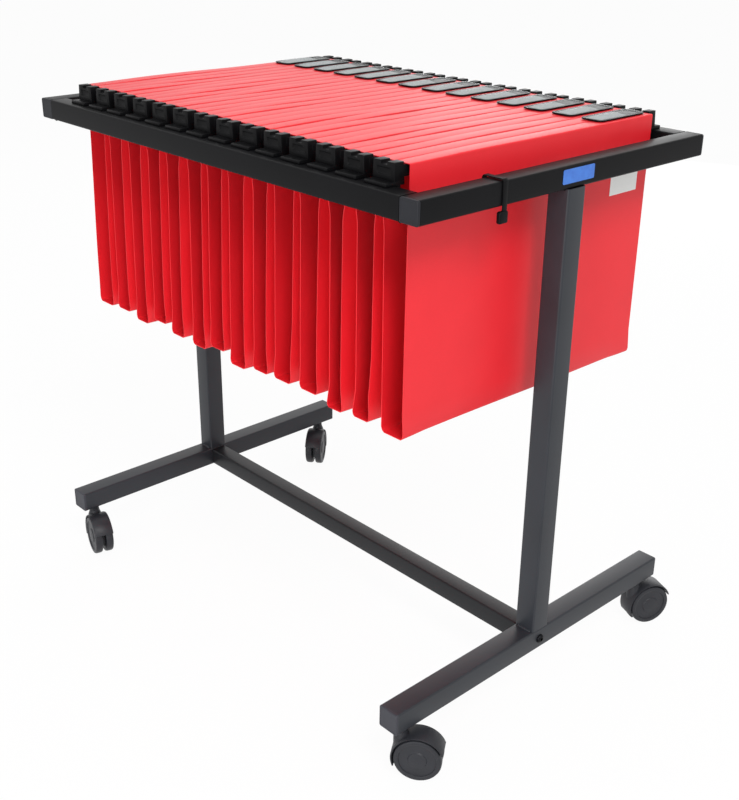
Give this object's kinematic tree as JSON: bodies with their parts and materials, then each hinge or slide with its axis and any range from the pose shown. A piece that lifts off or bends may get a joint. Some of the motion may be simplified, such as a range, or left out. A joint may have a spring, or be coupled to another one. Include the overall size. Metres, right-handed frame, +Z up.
{
  "type": "mobile file cart",
  "caption": "Black square-tube trolley on swivelling twin-wheel castors, with hanging red card suspension files hooked across its two top rails.",
  "frame": {"origin": "on the floor, under the middle of the frame, midway between the four castor stems", "axes": "+X along the rails to the end with the clip, +Y to the rear where the label tabs are, +Z up"},
  "size_m": [0.6508, 0.4614, 0.62],
  "materials": {
    "powder_coat": "satin black powder coat",
    "cap_plastic": "moulded dark grey end cap",
    "black_bolt": "black oxide",
    "castor_nylon": "moulded dark nylon",
    "axle_steel": "bright drawn pin",
    "black_plastic": "moulded black",
    "red_card": "red file card with a slight sheen"
  },
  "bodies": {
    "frame": {"rail_front": "powder_coat", "rail_rear": "powder_coat", "stretcher": "powder_coat", "bar_clip": "black_plastic", "end_bar_left": "powder_coat", "post_left": "powder_coat", "foot_left": "powder_coat", "stretcher_bolt_left": "black_bolt", "foot_cap_front_left": "cap_plastic", "foot_cap_rear_left": "cap_plastic", "end_bar_right": "powder_coat", "post_right": "powder_coat", "foot_right": "powder_coat", "stretcher_bolt_right": "black_bolt", "foot_cap_front_right": "cap_plastic", "foot_cap_rear_right": "cap_plastic"},
    "castor_front_left": {"castor_body_front_left": "castor_nylon", "castor_axle_front_left": "axle_steel"},
    "wheel_a_front_left": {"castor_wheel_a_front_left": "castor_nylon"},
    "wheel_b_front_left": {"castor_wheel_b_front_left": "castor_nylon"},
    "castor_front_right": {"castor_body_front_right": "castor_nylon", "castor_axle_front_right": "axle_steel"},
    "wheel_a_front_right": {"castor_wheel_a_front_right": "castor_nylon"},
    "wheel_b_front_right": {"castor_wheel_b_front_right": "castor_nylon"},
    "castor_rear_left": {"castor_body_rear_left": "castor_nylon", "castor_axle_rear_left": "axle_steel"},
    "wheel_a_rear_left": {"castor_wheel_a_rear_left": "castor_nylon"},
    "wheel_b_rear_left": {"castor_wheel_b_rear_left": "castor_nylon"},
    "castor_rear_right": {"castor_body_rear_right": "castor_nylon", "castor_axle_rear_right": "axle_steel"},
    "wheel_a_rear_right": {"castor_wheel_a_rear_right": "castor_nylon"},
    "wheel_b_rear_right": {"castor_wheel_b_rear_right": "castor_nylon"},
    "file_01": {"file_card_01": "red_card", "file_hanger_01": "black_plastic"},
    "file_02": {"file_card_02": "red_card", "file_hanger_02": "black_plastic"},
    "file_03": {"file_card_03": "red_card", "file_hanger_03": "black_plastic"},
    "file_04": {"file_card_04": "red_card", "file_hanger_04": "black_plastic"},
    "file_05": {"file_card_05": "red_card", "file_hanger_05": "black_plastic"},
    "file_06": {"file_card_06": "red_card", "file_hanger_06": "black_plastic"},
    "file_07": {"file_card_07": "red_card", "file_hanger_07": "black_plastic"},
    "file_08": {"file_card_08": "red_card", "file_hanger_08": "black_plastic"},
    "file_09": {"file_card_09": "red_card", "file_hanger_09": "black_plastic"},
    "file_10": {"file_card_10": "red_card", "file_hanger_10": "black_plastic"},
    "file_11": {"file_card_11": "red_card", "file_hanger_11": "black_plastic"},
    "file_12": {"file_card_12": "red_card", "file_hanger_12": "black_plastic"},
    "file_13": {"file_card_13": "red_card", "file_hanger_13": "black_plastic"},
    "file_14": {"file_card_14": "red_card", "file_hanger_14": "black_plastic"}
  },
  "joints": [
    {"name": "swivel_front_left", "type": "hinge", "parent": "frame", "child": "castor_front_left", "pos_m": [-0.2965, -0.197, 0.062], "axis": [0, 0, 1], "continuous": true},
    {"name": "roll_a_front_left", "type": "hinge", "parent": "castor_front_left", "child": "wheel_a_front_left", "pos_m": [-0.27911, -0.20166, 0.025], "axis": [0.2588, 0.9659, 0], "continuous": true},
    {"name": "roll_b_front_left", "type": "hinge", "parent": "castor_front_left", "child": "wheel_b_front_left", "pos_m": [-0.27911, -0.20166, 0.025], "axis": [0.2588, 0.9659, 0], "continuous": true},
    {"name": "swivel_front_right", "type": "hinge", "parent": "frame", "child": "castor_front_right", "pos_m": [0.2965, -0.197, 0.062], "axis": [0, 0, 1], "continuous": true},
    {"name": "roll_a_front_right", "type": "hinge", "parent": "castor_front_right", "child": "wheel_a_front_right", "pos_m": [0.31106, -0.18642, 0.025], "axis": [-0.5878, 0.809, 0], "continuous": true},
    {"name": "roll_b_front_right", "type": "hinge", "parent": "castor_front_right", "child": "wheel_b_front_right", "pos_m": [0.31106, -0.18642, 0.025], "axis": [-0.5878, 0.809, 0], "continuous": true},
    {"name": "swivel_rear_left", "type": "hinge", "parent": "frame", "child": "castor_rear_left", "pos_m": [-0.2965, 0.197, 0.062], "axis": [0, 0, 1], "continuous": true},
    {"name": "roll_a_rear_left", "type": "hinge", "parent": "castor_rear_left", "child": "wheel_a_rear_left", "pos_m": [-0.28517, 0.18301, 0.025], "axis": [0.7771, 0.6293, 0], "continuous": true},
    {"name": "roll_b_rear_left", "type": "hinge", "parent": "castor_rear_left", "child": "wheel_b_rear_left", "pos_m": [-0.28517, 0.18301, 0.025], "axis": [0.7771, 0.6293, 0], "continuous": true},
    {"name": "swivel_rear_right", "type": "hinge", "parent": "frame", "child": "castor_rear_right", "pos_m": [0.2965, 0.197, 0.062], "axis": [0, 0, 1], "continuous": true},
    {"name": "roll_a_rear_right", "type": "hinge", "parent": "castor_rear_right", "child": "wheel_a_rear_right", "pos_m": [0.30353, 0.21357, 0.025], "axis": [-0.9205, 0.3907, 0], "continuous": true},
    {"name": "roll_b_rear_right", "type": "hinge", "parent": "castor_rear_right", "child": "wheel_b_rear_right", "pos_m": [0.30353, 0.21357, 0.025], "axis": [-0.9205, 0.3907, 0], "continuous": true},
    {"name": "lift_01", "type": "slide", "parent": "frame", "child": "file_01", "axis": [0, 0, 1], "range_m": [0, 0.3]},
    {"name": "lift_02", "type": "slide", "parent": "frame", "child": "file_02", "axis": [0, 0, 1], "range_m": [0, 0.3]},
    {"name": "lift_03", "type": "slide", "parent": "frame", "child": "file_03", "axis": [0, 0, 1], "range_m": [0, 0.3]},
    {"name": "lift_04", "type": "slide", "parent": "frame", "child": "file_04", "axis": [0, 0, 1], "range_m": [0, 0.3]},
    {"name": "lift_05", "type": "slide", "parent": "frame", "child": "file_05", "axis": [0, 0, 1], "range_m": [0, 0.3]},
    {"name": "lift_06", "type": "slide", "parent": "frame", "child": "file_06", "axis": [0, 0, 1], "range_m": [0, 0.3]},
    {"name": "lift_07", "type": "slide", "parent": "frame", "child": "file_07", "axis": [0, 0, 1], "range_m": [0, 0.3]},
    {"name": "lift_08", "type": "slide", "parent": "frame", "child": "file_08", "axis": [0, 0, 1], "range_m": [0, 0.3]},
    {"name": "lift_09", "type": "slide", "parent": "frame", "child": "file_09", "axis": [0, 0, 1], "range_m": [0, 0.3]},
    {"name": "lift_10", "type": "slide", "parent": "frame", "child": "file_10", "axis": [0, 0, 1], "range_m": [0, 0.3]},
    {"name": "lift_11", "type": "slide", "parent": "frame", "child": "file_11", "axis": [0, 0, 1], "range_m": [0, 0.3]},
    {"name": "lift_12", "type": "slide", "parent": "frame", "child": "file_12", "axis": [0, 0, 1], "range_m": [0, 0.3]},
    {"name": "lift_13", "type": "slide", "parent": "frame", "child": "file_13", "axis": [0, 0, 1], "range_m": [0, 0.3]},
    {"name": "lift_14", "type": "slide", "parent": "frame", "child": "file_14", "axis": [0, 0, 1], "range_m": [0, 0.3]}
  ]
}
